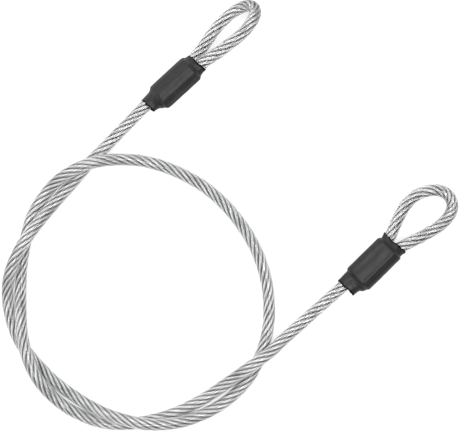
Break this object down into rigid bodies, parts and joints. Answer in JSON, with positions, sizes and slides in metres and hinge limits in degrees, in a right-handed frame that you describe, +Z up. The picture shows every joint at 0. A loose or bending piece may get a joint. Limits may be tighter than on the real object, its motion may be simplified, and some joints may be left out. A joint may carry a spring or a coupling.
{
  "type": "looped security cable",
  "caption": "Clear-coated steel wire rope lying in a loose coil, with a pressed eye under a black shrink sleeve at each end, for tethering bicycle parts with a lock.",
  "frame": {"origin": "centre of the underside of the whole object's box, on the surface it lies on", "axes": "+Z up, away from the surface the cable lies on; +Y along the two straight tails, towards the eyes; +X towards the lower-lying tail and its eye"},
  "size_m": [0.1299, 0.1788, 0.0119],
  "materials": {
    "strand": "bright drawn galvanised wire",
    "coat": "clear vinyl, semi-gloss",
    "ferrule": "pressed, matt",
    "sleeve": "satin black polyolefin heat shrink"
  },
  "bodies": {
    "root": {"core_strand": "strand", "outer_strand_1": "strand", "outer_strand_2": "strand", "outer_strand_3": "strand", "outer_strand_4": "strand", "outer_strand_5": "strand", "outer_strand_6": "strand", "coat_main": "coat", "coat_eye_a": "coat", "coat_eye_b": "coat", "ferrule_a": "ferrule", "ferrule_b": "ferrule", "shrink_sleeve_a": "sleeve", "shrink_sleeve_b": "sleeve"}
  },
  "joints": []
}
